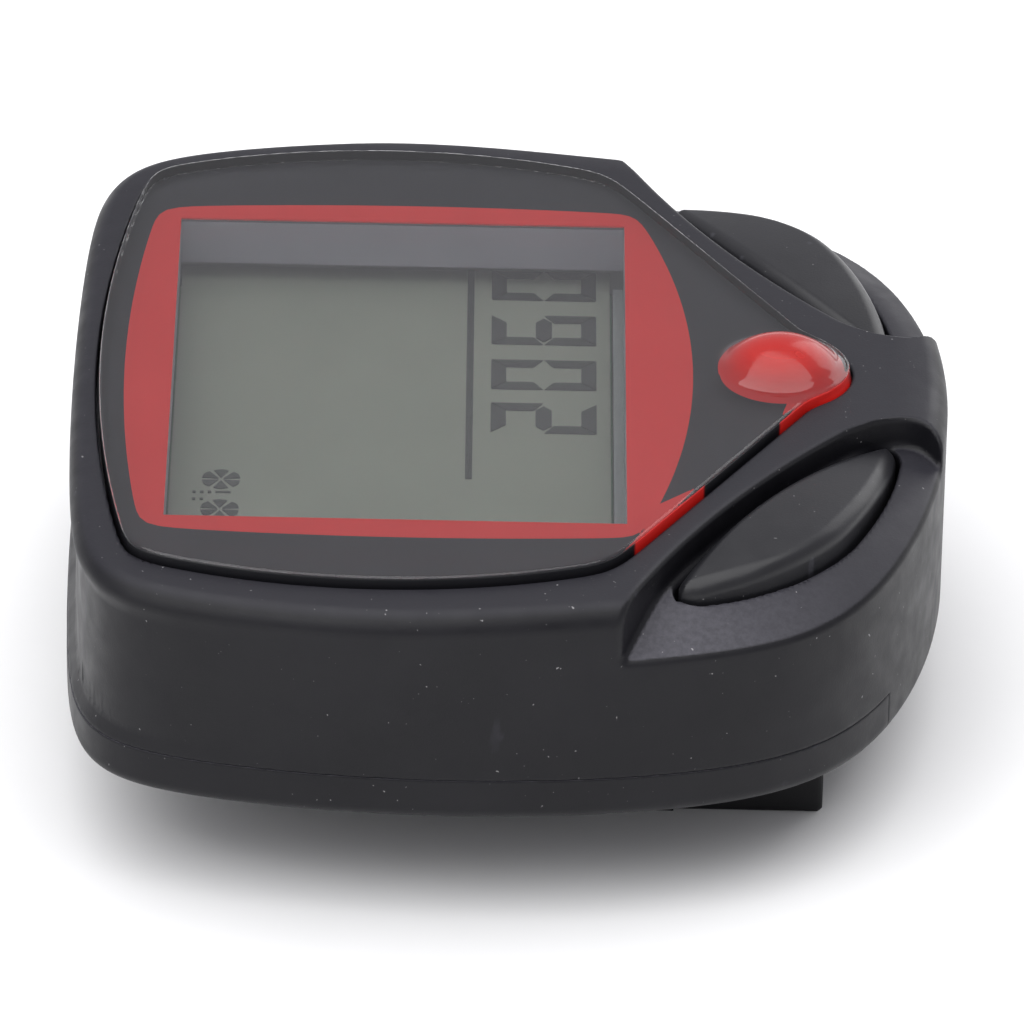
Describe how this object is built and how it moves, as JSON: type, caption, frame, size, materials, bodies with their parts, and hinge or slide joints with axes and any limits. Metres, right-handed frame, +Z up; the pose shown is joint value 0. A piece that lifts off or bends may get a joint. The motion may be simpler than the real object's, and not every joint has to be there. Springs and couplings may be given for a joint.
{
  "type": "cycling computer",
  "caption": "Handlebar cycling computer with a domed clear lens over a segment display, leaf-shaped side buttons, a coin-cell cover and a slide-on bracket.",
  "frame": {"origin": "middle of the footprint, on the plane that the bracket's feet stand on", "axes": "+Z up out of the display, +Y the direction of travel (top of the digits), +X the rider's right, along the handlebar"},
  "size_m": [0.05, 0.0424, 0.0187],
  "materials": {
    "housing_black": "fine matte texture",
    "bracket_black": "satin",
    "button_black": "satin",
    "clear_lens": "polished",
    "red_ink": "printed under the lens",
    "black_ink": "printed under the lens",
    "adhesive_tape": "matte",
    "frame_grey": "matte",
    "display_glass": "polished",
    "polarizer_film": "satin film",
    "reflector_film": "silvered film",
    "segment_ink": "dark segments",
    "zebra_rubber": "matte",
    "board_green": "solder mask",
    "epoxy_black": "cured epoxy",
    "ceramic_tan": "ceramic",
    "resistor_black": "ceramic",
    "bright_steel": "satin",
    "spring_steel": "drawn wire",
    "contact_brass": "plated",
    "cell_steel": "brushed",
    "pad_rubber": "matte",
    "seal_rubber": "matte"
  },
  "bodies": {
    "bracket": {"bracket_base": "bracket_black", "bracket_pad": "pad_rubber"},
    "release_tab": {"release_tab": "bracket_black"},
    "left_contact": {"left_contact_pin": "contact_brass"},
    "right_contact": {"right_contact_pin": "contact_brass"},
    "battery_cover": {"battery_cover": "bracket_black", "cover_seal": "seal_rubber"},
    "left_button": {"left_button": "button_black"},
    "right_button": {"right_button": "button_black"},
    "computer": {"bottom_housing": "housing_black", "top_housing": "housing_black", "housing_screws": "bright_steel", "contact_studs": "contact_brass", "stud_springs": "spring_steel", "battery": "cell_steel", "battery_holder": "bracket_black", "battery_plus_clip": "spring_steel", "battery_minus_leaf": "spring_steel", "circuit_board": "board_green", "chip_blob": "epoxy_black", "watch_crystal": "bright_steel", "chip_capacitors": "ceramic_tan", "chip_resistors": "resistor_black", "switch_domes": "bright_steel", "zebra_strips": "zebra_rubber", "lcd_reflector": "reflector_film", "lcd_rear_glass": "display_glass", "lcd_segments": "segment_ink", "lcd_front_glass": "display_glass", "lcd_polarizer": "polarizer_film", "lcd_frame": "frame_grey", "lens_tape": "adhesive_tape", "lens_black_print": "black_ink", "lens_red_print": "red_ink", "lens": "clear_lens"}
  },
  "joints": [
    {"name": "computer_slide", "type": "slide", "parent": "bracket", "child": "computer", "axis": [0, 1, 0], "range_m": [0, 0.022]},
    {"name": "release_tab_flex", "type": "hinge", "parent": "bracket", "child": "release_tab", "pos_m": [0, -0.0099, 0.0036], "axis": [1, 0, 0], "range_deg": [0, 6], "stiffness_Nm_per_rad": 0.05},
    {"name": "left_contact_press", "type": "slide", "parent": "bracket", "child": "left_contact", "axis": [0, 0, -1], "range_m": [0, 0.0004], "stiffness_N_per_m": 500},
    {"name": "right_contact_press", "type": "slide", "parent": "bracket", "child": "right_contact", "axis": [0, 0, -1], "range_m": [0, 0.0004], "stiffness_N_per_m": 500},
    {"name": "left_button_press", "type": "slide", "parent": "computer", "child": "left_button", "axis": [0, 0, -1], "range_m": [0, 0.0006], "stiffness_N_per_m": 1500},
    {"name": "right_button_press", "type": "slide", "parent": "computer", "child": "right_button", "axis": [0, 0, -1], "range_m": [0, 0.0006], "stiffness_N_per_m": 1500},
    {"name": "battery_cover_turn", "type": "hinge", "parent": "computer", "child": "battery_cover", "pos_m": [0, -0.0025, 0.006], "axis": [0, 0, -1], "range_deg": [0, 60]}
  ]
}
